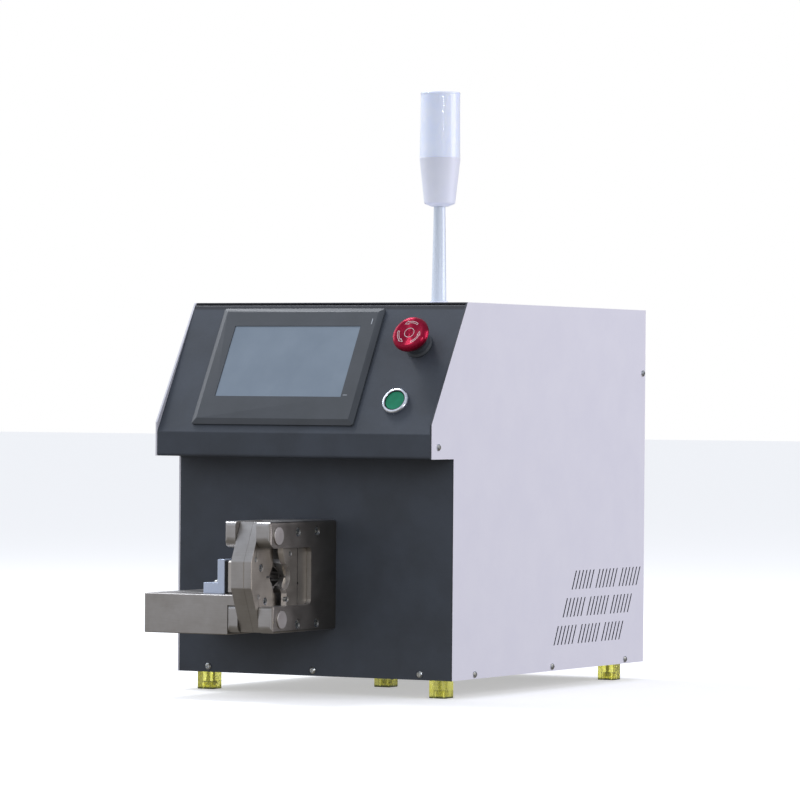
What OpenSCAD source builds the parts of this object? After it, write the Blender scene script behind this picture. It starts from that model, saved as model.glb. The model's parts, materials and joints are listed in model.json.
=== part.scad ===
// Bench-top crimping machine: a servo-driven head that closes six die faces into a hexagon.
// Millimetres. X runs across the front, Y from front to back and Z up from the surface it stands on.
// The origin is at the middle of the floor area that the whole machine covers.

/* [Case] */
// Width over both side panels
case_w = 340; // [336:1:352]
// Depth from the lower front panel to the back panel
case_d = 473; // [470:1:500]
// Height of the case without its feet
case_h = 404; // [400:1:410]
// Thickness of the dark front sheet, the tray, the top and the back
sheet_t = 1.5; // [1.2:0.1:2]
// Thickness of the two side panels
side_t = 2; // [1.5:0.1:2.5]
// How far the control nose stands out over the lower front panel
nose_out = 50.6; // [48:0.1:54]
// Height of the nose's underside above the case's bottom edge
nose_z = 236.3; // [232:0.1:240]
// Height where the front sheet folds from the fascia to the slope
fold_z = 262.6; // [260:0.1:266]
// Height of the same corner on the side panels, which stand proud of the slope
side_fold_z = 272.8; // [270:0.1:276]
// Setback of the top front edge behind the lower front panel
top_setback = 29.8; // [26:0.1:34]
// Outside radius of the folds in the sheet
bend_r = 3; // [2.5:0.1:4]
// Depth of the turned-in edges of the sheets
lip = 13; // [12:0.5:16]

/* [Vents] */
// Rows of slots in each side panel
vent_rows = 3; // [1:1:3]
// Groups of slots in a row
vent_groups = 3; // [1:1:3]
// Slots in a group
vent_slots = 6; // [3:1:6]
// Width of one slot
slot_w = 2.6; // [2:0.1:3]
// Height of one slot
slot_h = 21; // [18:0.5:23]
// Sideways lean of a slot over its height
slot_lean = 10.5; // [6:0.5:12]

/* [Feet] */
// Height of the block feet
foot_h = 20; // [18:1:24]
// Side of a foot's square plan
foot_side = 20; // [18:1:24]
// Distance of a foot's centre from the case's side
foot_inset = 26; // [22:1:30]
// Front feet, behind the lower front panel
foot_front_y = 25; // [20:1:30]
// Rear feet, behind the lower front panel
foot_rear_y = 437; // [430:1:445]

/* [Touch panel] */
// Width of the bezel
hmi_w = 200; // [196:1:204]
// Height of the bezel, up the slope
hmi_h = 145; // [141:1:146]
// How far the bezel stands proud of the slope
hmi_proud = 5; // [4:0.5:7]
// Width of the display
screen_w = 153; // [150:1:158]
// Height of the display
screen_h = 85; // [82:1:90]

/* [Buttons] */
// Diameter of the emergency stop's mushroom head
mushroom_d = 41; // [38:0.5:44]
// Travel of the emergency stop
mushroom_travel = 5; // [3:0.5:5.5]
// Outer diameter of the start button's metal ring
start_ring_d = 30.5; // [29:0.5:32]
// Travel of the start button
start_travel = 3; // [2:0.5:3]

/* [Signal lamp] */
// Height of the pole over the case's top
pole_h = 117; // [100:1:130]
// Height of the tapered plastic base
lamp_base_h = 52.5; // [48:0.5:56]
// Height of the frosted lens
lens_h = 73.6; // [68:0.1:78]
// Diameter of the frosted lens at its foot
lens_d = 45.7; // [44:0.1:47]

/* [Crimp head] */
// Width of the yoke
head_w = 55.5; // [54:0.5:58]
// Height of the yoke
head_h = 118; // [116:0.5:120]
// Height of the window between the yoke's two arms
window_h = 61.5; // [60:0.5:63]
// Reach of the upper arm in front of the panel
upper_reach = 143.5; // [142:0.5:146]
// Reach of the lower arm in front of the panel
lower_reach = 137.5; // [136:0.5:140]
// Depth of solid yoke between the panel and the window
yoke_back = 54.5; // [53:0.5:56]
// Distance of the crimp axis in front of the panel
crimp_reach = 103; // [102:0.5:104]
// Height of the crimp axis above the case's bottom edge
crimp_z = 110.5; // [110:0.5:111]
// Inner radius of the hexagon when the head is open
crimp_open = 8.6; // [8.4:0.1:8.8]
// Stroke of the ram
crimp_stroke = 9; // [8:0.5:9]
// Diameter of the two gate pins
pin_d = 19.5; // [18:0.5:20]

/* [Rest block] */
// Length of the block beside the head
block_l = 102.75; // [98:0.25:106]
// Height of the block
block_h = 42.2; // [40:0.2:44]
// Reach of the block in front of the panel
block_reach = 136; // [130:0.5:137]

/* [Hidden] */
$fn = 64;
eps = 0.01;

// Fits: a shaft that turns or slides in a bore, and faces of pieces that move past each other
run = 0.05;
gap = 0.15;

// Where the case stands in the part's frame: Y so that gate and rear fittings are equally far out
gate_front = 152.6;
rear_proud = 6;
case_y = -(case_d + rear_proud - gate_front) / 2;
in_w = case_w - 2 * side_t;
foot_x = case_w / 2 - foot_inset;
foot_seat = -12;
shadow_gap = 1.2;

// The slope that carries the controls
slope_tilt = atan2(case_h - fold_z, nose_out + top_setback);
hmi_x = -26.7;
hmi_v = 81.4;
screen_x = -27.5;
screen_v = 86.3;
hmi_depth = 38;
rim_t = 2.2;
bevel_w = 6;
stop_x = 125.9;
stop_v = 109.1;
start_x = 116.5;
start_v = 39.4;
button_hole_r = 11.3;

// The signal lamp
lamp_x = 3.3;
lamp_y = 278.7;
pole_r0 = 8.4;
pole_r1 = 6.6;

// Crimp head: faces of the V grooves lie v_dist from the crimp axis
crimp_y = -crimp_reach;
head_z0 = crimp_z - head_h / 2;
head_z1 = crimp_z + head_h / 2;
win_z0 = crimp_z - window_h / 2;
win_z1 = crimp_z + window_h / 2;
v_dist = crimp_open / cos(30);
v_deep = v_dist / cos(30);
v_close = crimp_stroke * cos(30) / 2;
shut_half = (crimp_open - crimp_stroke / 2) * tan(30);
gate_x0 = -14.2;
gate_seam = 1.4;
gate_x1 = 10.6;
die_x0 = gate_x0 + 0.5;
die_x1 = gate_x1 - 0.5;
key_x0 = -5;
key_x1 = 1;
key_deep = 1.5;
ear_x0 = gate_x0 - 0.3;
ear_x1 = gate_x1 + 0.4;
ear_back = -88;
upper_pin = [-125.7, 154.3];
lower_pin = [-118.1, 65.7];
pin_r = pin_d / 2;
gate_back = -106;
lip_back = -104.8;
tip_r = 4;
corner_r = 3;
ram_half = window_h / 2 - gap;
ram_x = 22.5;
cheek_x = 16;
ram_seam = -74.5;
seam_gap = 1.2;
rod_r = 8;
rod_end_r = 5;
cap_screw_r = 3.7;
cap_shank_r = 2;
yoke_screw_r = 4.8;
screw_sink = 6;
dowel_r = 2.4;
dowel_l = 16;
yoke_screw_y = [-83, -42];
yoke_screw_z = [crimp_z - 50.6, crimp_z + 47.4];
cheek_screws = [[-90.1, 135.1], [-96.7, 86.8]];
gate_cap_screws = [[-131.7, 120.5], [-122.4, 84.7]];
gate_dowels = [[-142.3, 129.4], [-136.4, 90]];

// Rest block and its sliding stop
block_z0 = 48.8;
block_top = block_z0 + block_h;
block_x1 = -head_w / 2;
block_x0 = block_x1 - block_l;
shelf_x1 = gate_x0 - 0.9;
shelf_z = win_z0 + gap;
shelf_back = -118;
slide_y0 = -106;
slide_y1 = -82;
slide_mid = (slide_y0 + slide_y1) / 2;
slide_x0 = -75.5;
slide_x1 = -49;
slide_l = slide_x1 - slide_x0;
slide_foot_t = 11.4;
slide_post_t = 8.9;
slide_post_h = 36.4;
tee_w = 5.6;
tee_head_w = 11;
tee_z = block_top - 7;
tee_deep = 5;

// Drive behind the panel, along the crimp axis
rear_seat = 10;
bracket_t = 15;
carriage_y0 = 62;
carriage_y1 = 78;
nut_end = 118;
bearing_y0 = 130;
bearing_y1 = 150;
coupling_y0 = 166;
coupling_y1 = 196;
mount_y0 = 200;
mount_y1 = 210;
guide_x = 34;
guide_r = 6;
spindle_r = 8;
spindle_end = 178;
shaft_r = 7;
motor_shaft_y0 = 184;
pilot_r = 25;

// Back panel fittings, in X and Z
fan_at = [-90, 300];
fan_side = 80;
fan_bore_r = 38;
fan_hole = 35.75;
inlet_at = [100, 80];
pedal_at = [30, 70];

// Fasteners: pan-head screws of the case
screw_r = 2;
pan_r = 3.6;
pan_h = 2.2;
front_screw_x = [-131, 0, 131];
front_screw_z = 6;
side_screws = [[-35, 249], [52, 5], [238, 5], [424, 5], [466, 331.5]];
rear_screws = [[-131, 6], [0, 6], [131, 6], [-150, 394], [150, 394]];

// Placing
module in_case() translate([0, case_y, foot_h]) children();
module on_slope(x, v) {
    translate([x, -nose_out, fold_z]) rotate([slope_tilt, 0, 0]) translate([0, v, 0]) children();
}
module along_x(x0, x1) translate([x0, 0, 0]) rotate([90, 0, 90]) linear_extrude(x1 - x0) children();
module along_y(y0, y1) translate([0, y1, 0]) rotate([90, 0, 0]) linear_extrude(y1 - y0) children();
module along_z(z0, z1) translate([0, 0, z0]) linear_extrude(z1 - z0) children();
module rod_x(r, x0, x1, at) translate([x0, at[0], at[1]]) rotate([0, 90, 0]) cylinder(h = x1 - x0, r = r);
module rod_y(r, y0, y1, at) translate([at[0], y0, at[1]]) rotate([-90, 0, 0]) cylinder(h = y1 - y0, r = r);
module rod_z(r, z0, z1, at) translate([at[0], at[1], z0]) cylinder(h = z1 - z0, r = r);
module block(x0, x1, y0, y1, z0, z1) translate([x0, y0, z0]) cube([x1 - x0, y1 - y0, z1 - z0]);
module facing_front(x, z) translate([x, 0, z]) rotate([90, 0, 0]) children();
module facing_rear(x, z) translate([x, case_d, z]) rotate([-90, 0, 0]) children();
module facing_side(side, at)
    translate([side * case_w / 2, at[0], at[1]]) rotate([0, side * 90, 0]) children();
module on_axis() translate([0, crimp_y, crimp_z]) children();

// Outlines
function unit(v) = v / norm(v);
function half_turn(a) = a > 180 ? a - 360 : a < -180 ? a + 360 : a;
function fillet(a, b, c, r, n) = let(
    u = unit(a - b), v = unit(c - b), half = acos(u * v) / 2,
    o = b + unit(u + v) * r / sin(half),
    s = b + u * r / tan(half) - o, e = b + v * r / tan(half) - o,
    a0 = atan2(s[1], s[0]), sweep = half_turn(atan2(e[1], e[0]) - a0))
    [for (i = [0:n]) o + r * [cos(a0 + sweep * i / n), sin(a0 + sweep * i / n)]];
function rounded(path, r, n = 4) = [path[0],
    for (i = [1:len(path) - 2]) each fillet(path[i - 1], path[i], path[i + 1], r, n), path[len(path) - 1]];
function inward(path, i, t) = let(
    b = path[i], d1 = i == 0 ? unit(path[1] - b) : unit(b - path[i - 1]),
    d2 = i == len(path) - 1 ? d1 : unit(path[i + 1] - b),
    n1 = [d1[1], -d1[0]], n2 = [d2[1], -d2[0]]) b + (n1 + n2) * t / (1 + n1 * n2);
function sheet(path, t) = concat(path, [for (i = [len(path) - 1:-1:0]) inward(path, i, t)]);
function cut_square(w, h, c) = [[-w / 2 + c, -h / 2], [w / 2 - c, -h / 2], [w / 2, -h / 2 + c],
    [w / 2, h / 2 - c], [w / 2 - c, h / 2], [-w / 2 + c, h / 2], [-w / 2, h / 2 - c], [-w / 2, -h / 2 + c]];
module round_rect(w, h, r) {
    square([w - 2 * r, h], center = true);
    square([w, h - 2 * r], center = true);
    for (sx = [-1, 1], sy = [-1, 1]) translate([sx * (w / 2 - r), sy * (h / 2 - r)]) circle(r);
}
module cut_block(size, c) {
    intersection() {
        along_x(-size[0] / 2, size[0] / 2) polygon(cut_square(size[1], size[2], c));
        along_y(-size[1] / 2, size[1] / 2) polygon(cut_square(size[0], size[2], c));
        along_z(-size[2] / 2, size[2] / 2) polygon(cut_square(size[0], size[1], c));
    }
}

// Fasteners, with the seat of the head at Z 0 and the shank below it
module pan_screw(shank) {
    difference() {
        union() {
            cylinder(h = pan_h * 0.45, r = pan_r);
            translate([0, 0, pan_h * 0.45]) cylinder(h = pan_h * 0.55, r1 = pan_r, r2 = pan_r * 0.62);
        }
        for (a = [0, 90]) rotate(a) translate([-1.9, -0.4, pan_h - 1.2]) cube([3.8, 0.8, 2]);
    }
    translate([0, 0, -shank]) cylinder(h = shank, r = screw_r);
}
module cap_screw(head_r, head_h, shank_r, shank, socket) {
    difference() {
        cylinder(h = head_h, r = head_r);
        translate([0, 0, head_h * 0.4]) cylinder(h = head_h, r = socket, $fn = 6);
    }
    translate([0, 0, -shank]) cylinder(h = shank, r = shank_r);
}

// Case
front_top = case_h - sheet_t - shadow_gap;
front_top_y = (front_top - fold_z) / tan(slope_tilt) - nose_out;
front_path = [[0, 0], [0, nose_z], [-nose_out, nose_z], [-nose_out, fold_z], [front_top_y, front_top],
    [front_top_y + lip, front_top]];
module front_panel() color("#3f444c") in_case() difference() {
    union() {
        along_x(-in_w / 2, in_w / 2) polygon(sheet(rounded(front_path, bend_r), sheet_t));
        for (s = [-1, 1]) translate([s * (in_w - sheet_t) / 2, 0, 0]) {
            block(-sheet_t / 2, sheet_t / 2, sheet_t / 2, lip, lip + 3, nose_z - 8);
            block(-sheet_t / 2, sheet_t / 2, -nose_out + sheet_t / 2, -22, nose_z + 5, fold_z - 2);
        }
    }
    block(-head_w / 2 + 2, head_w / 2 - 2, -1, 3, head_z0 + 3, head_z1 - 3);
    on_slope(hmi_x, hmi_v) along_z(-8, 2) square([hmi_w - 8, hmi_h - 8], center = true);
    on_slope(stop_x, stop_v) cylinder(h = 16, r = button_hole_r, center = true);
    on_slope(start_x, start_v) cylinder(h = 16, r = button_hole_r, center = true);
    for (x = front_screw_x) rod_y(screw_r + run, -1, 3, [x, front_screw_z]);
    for (s = [-1, 1]) rod_x(screw_r + run, s * in_w / 2 - 4, s * in_w / 2 + 4, side_screws[0]);
}

module vents() {
    pitch = 8.95;
    for (row = [0:vent_rows - 1], group = [0:vent_groups - 1], slot = [0:vent_slots - 1])
        translate([286 - 22.2 * row + 60.2 * group + pitch * slot, 88.6 - 30.3 * row])
            polygon([[0, 0], [slot_w, 0], [slot_w + slot_lean, slot_h], [slot_lean, slot_h]]);
}
module side_panel() {
    along_x(0, side_t) difference() {
        polygon([[top_setback, case_h], [-nose_out, side_fold_z], [-nose_out, nose_z], [0, nose_z], [0, 0],
            [case_d, 0], [case_d, case_h]]);
        vents();
        for (at = side_screws) translate(at) circle(screw_r + run);
    }
}
module right_side_panel() color("#d0d0da") in_case() translate([in_w / 2, 0, 0]) side_panel();
module left_side_panel() color("#d0d0da") in_case() mirror([1, 0, 0])
    translate([in_w / 2, 0, 0]) side_panel();

module base_tray() color("#b9bdc0") in_case() difference() {
    block(-in_w / 2, in_w / 2, sheet_t, case_d - sheet_t, 0, lip);
    block(-in_w / 2 + sheet_t, in_w / 2 - sheet_t, 2 * sheet_t, case_d - 2 * sheet_t, sheet_t, lip + 1);
    for (x = front_screw_x) rod_y(screw_r + run, 0, 6, [x, front_screw_z]);
    for (at = rear_screws) rod_y(screw_r + run, case_d - 6, case_d, at);
    for (s = [-1, 1], i = [1:3]) rod_x(screw_r + run, s * in_w / 2 - 4, s * in_w / 2 + 4, side_screws[i]);
    for (s = [-1, 1], y = [foot_front_y, foot_rear_y]) rod_z(2.75, -1, 3, [s * foot_x, y]);
    for (i = [-9:9], j = [0:1]) translate([10 * i, 360 + 40 * j, 0]) block(-1.7, 1.7, 0, 26, -1, 3);
}

module top_cover() color("#d0d0da") in_case() difference() {
    union() {
        block(-in_w / 2, in_w / 2, top_setback, case_d - sheet_t, case_h - sheet_t, case_h);
        for (s = [-1, 1]) translate([s * (in_w - sheet_t) / 2, 0, 0])
            block(-sheet_t / 2, sheet_t / 2, top_setback + lip + 8, case_d - 24, case_h - lip, case_h - eps);
    }
    rod_z(7, case_h - 3, case_h + 1, [lamp_x, lamp_y]);
    for (a = [90, 210, 330]) rod_z(1.6, case_h - 3, case_h + 1, [lamp_x + 17 * cos(a), lamp_y + 17 * sin(a)]);
}

module rear_panel() color("#d0d0da") in_case() difference() {
    union() {
        block(-in_w / 2, in_w / 2, case_d - sheet_t, case_d, 0, case_h);
        for (s = [-1, 1]) translate([s * (in_w - sheet_t) / 2, 0, 0])
            block(-sheet_t / 2, sheet_t / 2, case_d - 16, case_d - eps, lip + 3, case_h - lip - 3);
    }
    rod_y(fan_bore_r, case_d - 3, case_d + 1, fan_at);
    for (sx = [-1, 1], sz = [-1, 1])
        rod_y(2.2, case_d - 3, case_d + 1, fan_at + [sx, sz] * fan_hole);
    translate([inlet_at[0], 0, inlet_at[1]]) block(-13.9, 13.9, case_d - 3, case_d + 1, -28.9, 28.9);
    rod_y(8.2, case_d - 3, case_d + 1, pedal_at);
    for (at = rear_screws) rod_y(screw_r + run, case_d - 3, case_d + 1, at);
    for (s = [-1, 1]) rod_x(screw_r + run, s * in_w / 2 - 4, s * in_w / 2 + 4, side_screws[4]);
}

module panel_screws() color("#b8bcc2") in_case() {
    for (x = front_screw_x) facing_front(x, front_screw_z) pan_screw(6);
    for (s = [-1, 1], at = side_screws) facing_side(s, at) pan_screw(6);
    for (at = rear_screws) facing_rear(at[0], at[1]) pan_screw(6);
}

module feet() color("#e6e45a") in_case() for (s = [-1, 1], y = [foot_front_y, foot_rear_y])
    translate([s * foot_x, y, -foot_h]) difference() {
        along_z(0, foot_h) polygon(cut_square(foot_side, foot_side, 1));
        cylinder(h = 60, r = 2.75, center = true);
        translate([0, 0, -1]) cylinder(h = foot_h + foot_seat + 1, r = 6.6);
    }

module foot_screws() color("#a9adb2") in_case() for (s = [-1, 1], y = [foot_front_y, foot_rear_y])
    translate([s * foot_x, y, 0]) {
        difference() {
            translate([0, 0, foot_seat - 4]) cylinder(h = 4, r = 5);
            translate([0, 0, foot_seat - 5]) cylinder(h = 3.4, r = 2.6, $fn = 6);
        }
        translate([0, 0, foot_seat - 1]) cylinder(h = 8 - foot_seat, r = 2.5);
        translate([0, 0, sheet_t]) difference() {
            cylinder(h = 4.5, r = 4.6, $fn = 6);
            translate([0, 0, -1]) cylinder(h = 7, r = 2.55);
        }
    }

// Touch panel
function bevelled(w) = [[-w / 2, 0], [w / 2, 0], [w / 2, rim_t], [w / 2 - bevel_w, hmi_proud],
    [bevel_w - w / 2, hmi_proud], [-w / 2, rim_t]];
module hmi_housing() color("#4a4b4b") in_case() on_slope(hmi_x, hmi_v) difference() {
    union() {
        intersection() {
            along_y(-hmi_h / 2, hmi_h / 2) polygon(bevelled(hmi_w));
            along_x(-hmi_w / 2, hmi_w / 2) polygon(bevelled(hmi_h));
            along_z(0, 20) round_rect(hmi_w, hmi_h, 3);
        }
        along_z(-hmi_depth, eps) round_rect(hmi_w - 10, hmi_h - 10, 2);
    }
    translate([screen_x - hmi_x, screen_v - hmi_v, hmi_proud - 1.4])
        along_z(0, 3) square([screen_w + 3, screen_h + 3], center = true);
    for (i = [-5:5]) translate([12 * i, 0, -hmi_depth - 1]) along_z(0, 3) square([5, 70], center = true);
    translate([0, -hmi_h / 2 + 3, -hmi_depth + 6]) cube([60, 6, 12], center = true);
}
module hmi_screen() color("#7f8c9b") in_case() on_slope(screen_x, screen_v)
    along_z(hmi_proud - 1.4, hmi_proud - 0.6) round_rect(screen_w + 2.6, screen_h + 2.6, 1);

// Emergency stop: collar on the panel, plunger in it and mushroom head that twists on the plunger
collar_h = 9;
plunger_r = 9.6;
stem_r = 3.5;
neck_top = 17;
spigot_r = 5;
spigot_h = 5;
rim_r = 5;
dish_r = 100;
module stop_collar() color("#303236") in_case() on_slope(stop_x, stop_v) rotate_extrude() polygon([
    [plunger_r + run, -9], [11, -9], [11, 0], [15.5, 0], [15.5, 2], [13.8, 4], [13.2, collar_h],
    [plunger_r + run, collar_h]]);
module stop_plunger() color("#a01a38") in_case() on_slope(stop_x, stop_v) rotate_extrude() polygon([
    [0, -26], [stem_r, -26], [stem_r, -11], [plunger_r, -9], [plunger_r, neck_top], [spigot_r, neck_top],
    [spigot_r, neck_top + spigot_h], [0, neck_top + spigot_h]]);
module stop_mushroom() color("#b3183f") in_case() on_slope(stop_x, stop_v) {
    r = mushroom_d / 2;
    skirt = collar_h + mushroom_travel + 1.5;
    seat = neck_top + gap;
    rim_z = skirt + 7.4;
    dish_z = skirt + 11.2;
    rim = [for (a = [0:15:90]) [r - rim_r, rim_z] + rim_r * [cos(a), sin(a)]];
    dish = [for (i = [5:-1:0]) [(r - rim_r) * i / 6, dish_z + pow((r - rim_r) * i / 6, 2) / (2 * dish_r)]];
    rotate_extrude() polygon(concat([[spigot_r + run, seat], [11.5, seat], [11.5, skirt + 1], [14, skirt],
        [r - 2.5, skirt + 3.2], [r - 0.5, skirt + 5]], rim, dish,
        [[0, seat + spigot_h], [spigot_r + run, seat + spigot_h]]));
}

// Start button: metal ring and the green cap that travels in it
module start_ring() color("#c9ccd0") in_case() on_slope(start_x, start_v) rotate_extrude() polygon([
    [11 + run, -9], [11.25, -9], [11.25, 0], [start_ring_d / 2, 0], [start_ring_d / 2, 2.2],
    [start_ring_d / 2 - 0.4, 3.3], [start_ring_d / 2 - 1.2, 4.1], [start_ring_d / 2 - 2.1, 4.4],
    [12.2, 4.4], [11.8, 4], [11.8, 2], [11 + run, 2]]);
module start_button() color("#27a06b") in_case() on_slope(start_x, start_v) rotate_extrude() polygon([
    [0, -24], [3.5, -24], [3.5, -8], [11, -6], [11, start_travel - 0.2], [10.7, start_travel + 0.3],
    [0, start_travel + 0.3]]);
module contact_blocks() color("#2b4a86") in_case()
    for (at = [[stop_x, stop_v, 38], [start_x, start_v, 38]]) on_slope(at[0], at[1]) difference() {
        translate([0, 0, -at[2] / 2 - 9]) cut_block([29, 29, at[2]], 1.2);
        translate([0, 0, -34]) cylinder(h = 30, r = stem_r + 0.7);
        translate([0, 0, -18]) cylinder(h = 14, r = 11.4);
        for (s = [-1, 1]) translate([s * 8.5, 0, -at[2] - 10]) cylinder(h = 3, r = 3);
    }

// Signal lamp
module lamp_foot() color("#d8d8e0") in_case() translate([lamp_x, lamp_y, case_h]) difference() {
    rotate_extrude() polygon([[5.5, 0], [23, 0], [23, 2.2], [21.5, 3.4], [12, 4], [pole_r0 + 1.8, 5.5],
        [pole_r0 + 1.8, 7], [pole_r0 + run, 7], [pole_r0 + run, 2], [5.5, 2]]);
    for (a = [90, 210, 330]) rotate(a) translate([17, 0, -1]) {
        cylinder(h = 8, r = 1.7);
        translate([0, 0, 3]) cylinder(h = 5, r = 3);
    }
}
module lamp_pole() color("#c3cbdb") in_case() translate([lamp_x, lamp_y, case_h]) rotate_extrude() polygon([
    [5.2, 2], [pole_r0, 2], [pole_r0, 7.5], [pole_r1, pole_h - 5], [pole_r1, pole_h + 3], [5.2, pole_h + 3]]);
module lamp_base() color("#d8d8e0") in_case() translate([lamp_x, lamp_y, case_h + pole_h])
    rotate_extrude() polygon([[pole_r1 + run, -3], [9.4, -3], [16.7, 0], [17.7, 1.2],
        [lens_d / 2 + 0.35, lamp_base_h - 0.6], [lens_d / 2 + 0.1, lamp_base_h], [20.2, lamp_base_h],
        [20.2, lamp_base_h - 3], [15.6, 5], [5.2, 5], [5.2, 3 + gap], [pole_r1 + run, 3 + gap]]);
module lamp_lens() color("#d5dceb") in_case() translate([lamp_x, lamp_y, case_h + pole_h + lamp_base_h]) {
    r = lens_d / 2;
    top = r - 0.7;
    rotate_extrude() polygon([[20.1, -3], [20.1, 0], [r, 0], [top, lens_h - 2.4], [top + 0.4, lens_h - 2],
        [top + 0.4, lens_h - 0.9], [top - 0.3, lens_h], [0, lens_h], [0, lens_h - 2.2],
        [top - 3.4, lens_h - 2.2], [top - 2.6, lens_h - 4], [r - 2.6, 2], [18.1, 0], [18.1, -3]]);
}

// Crimp head
module tip(reach) {
    translate([-head_w / 2, tip_r - reach]) square([head_w, reach - tip_r + rear_seat]);
    translate([tip_r - head_w / 2, -reach]) square([head_w - 2 * tip_r, tip_r + 1]);
    for (s = [-1, 1]) translate([s * (head_w / 2 - tip_r), tip_r - reach]) circle(tip_r);
}
yoke_path = concat(
    fillet([0, head_z0], [-lower_reach, head_z0], [-lower_reach, win_z0], 8, 8),
    fillet([-lower_reach, head_z0], [-lower_reach, win_z0], [0, win_z0], 3.5, 5),
    fillet([-lower_reach, win_z0], [-yoke_back, win_z0], [-yoke_back, win_z1], 6, 6),
    fillet([-yoke_back, win_z0], [-yoke_back, win_z1], [-upper_reach, win_z1], 6, 6),
    fillet([0, win_z1], [-upper_reach, win_z1], [-upper_reach, head_z1], 12, 10),
    fillet([-upper_reach, win_z1], [-upper_reach, head_z1], [0, head_z1], 5, 6),
    fillet([-upper_reach, head_z1], [0, head_z1], [0, head_z0], 4, 5),
    fillet([0, head_z1], [0, head_z0], [-lower_reach, head_z0], 4, 5));
module yoke() color("#8b8884") in_case() difference() {
    union() {
        intersection() {
            along_x(-head_w / 2, head_w / 2) polygon(yoke_path);
            union() {
                along_z(crimp_z, head_z1 + 1) tip(upper_reach);
                along_z(head_z0 - 1, crimp_z) tip(lower_reach);
            }
            along_y(-upper_reach, rear_seat) translate([0, crimp_z]) round_rect(head_w, head_h, corner_r);
        }
        block(-head_w / 2 + 3, head_w / 2 - 3, -6, rear_seat, head_z0 + 4, head_z1 - 4);
    }
    block(ear_x0, ear_x1, -upper_reach - 1, ear_back, head_z0 - 1, head_z1 + 1);
    for (at = [upper_pin, lower_pin]) rod_x(pin_r + run, -head_w, head_w, at);
    rod_y(rod_r + run, -yoke_back - 1, rear_seat + 1, [0, crimp_z]);
    for (s = [-1, 1], y = yoke_screw_y, z = yoke_screw_z)
        translate([s * head_w / 2, y, z]) rotate([0, s * 90, 0]) {
            translate([0, 0, -screw_sink]) cylinder(h = 8, r = yoke_screw_r + 0.4);
            translate([0, 0, -14.5]) cylinder(h = 12, r = cap_shank_r + run);
        }
}
module head_screws() color("#9a9a9c") in_case() {
    for (s = [-1, 1], y = yoke_screw_y, z = yoke_screw_z)
        translate([s * (head_w / 2 - screw_sink), y, z]) rotate([0, s * 90, 0])
            cap_screw(yoke_screw_r, 5, cap_shank_r, 8, 2.9);
    for (at = gate_cap_screws)
        translate([gate_x1 - 5, at[0], at[1]]) rotate([0, 90, 0])
            cap_screw(cap_screw_r, 4.2, cap_shank_r, 10, 2.1);
    for (at = gate_dowels) rod_x(dowel_r, gate_x1 - dowel_l, gate_x1 - 0.6, at);
}
module gate_pins() color("#9d9a96") in_case() for (at = [upper_pin, lower_pin]) {
    left = at == upper_pin ? -head_w / 2 - 1.4 : 0.2 - head_w / 2;
    right = head_w / 2 + 1.4;
    translate([0, at[0], at[1]]) rotate([0, 90, 0]) rotate_extrude() polygon([[0, left], [pin_r - 0.4, left],
        [pin_r, left + 0.4], [pin_r, right - 0.4], [pin_r - 0.4, right], [0, right]]);
}

// The gate's outline, with the V that carries the two front jaws
function v_rise(y) = (v_dist + (y - crimp_y) * cos(30)) / sin(30);
gate_path = [[-gate_front, 99.7], [-gate_front, 126.7], [-133, 169], [-116, 169], [gate_back, 159],
    [gate_back, crimp_z + v_rise(gate_back)], [crimp_y - v_deep, crimp_z],
    [lip_back, crimp_z - v_rise(lip_back)], [-98.5, 90], [-98.5, 64], [-108, 52], [-131, 52]];
module v_key(angle, deep, t0, t1)
    rotate(angle) translate([v_dist - 0.5, t0]) square([deep + 0.5, t1 - t0]);
module gate_slice(x0, x1, c) difference() {
    intersection() {
        along_x(x0, x1) polygon(gate_path);
        along_z(0, 200) translate([(x0 + x1) / 2, -60])
            polygon(cut_square(x1 - x0, 2 * (gate_front - 60), c));
    }
    for (at = [upper_pin, lower_pin]) rod_x(pin_r + run, x0 - 1, x1 + 1, at);
    on_axis() along_x(key_x0 - gap, key_x1 + gap) {
        v_key(150, key_deep + gap, -13.5, 5.5);
        v_key(210, key_deep + gap, -5.5, 13.5);
    }
    on_axis() block(x0 - 1, x1 + 1, -v_deep - 6, -v_deep + 1, -1.05, 1.05);
    for (at = gate_dowels) rod_x(dowel_r + eps, gate_x1 - dowel_l, gate_x1 + 1, at);
}
module gate_body() color("#a3a09c") in_case() difference() {
    gate_slice(gate_x0, gate_seam, 0.6);
    for (at = gate_cap_screws) rod_x(cap_shank_r + run, gate_x1 - dowel_l, gate_x1, at);
}
module gate_cheek() color("#9c9995") in_case() difference() {
    gate_slice(gate_seam, gate_x1, 0.6);
    for (at = gate_cap_screws) {
        rod_x(cap_shank_r + run, gate_seam - 1, gate_x1, at);
        rod_x(cap_screw_r + 0.3, gate_x1 - 5, gate_x1 + 1, at);
    }
}

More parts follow.
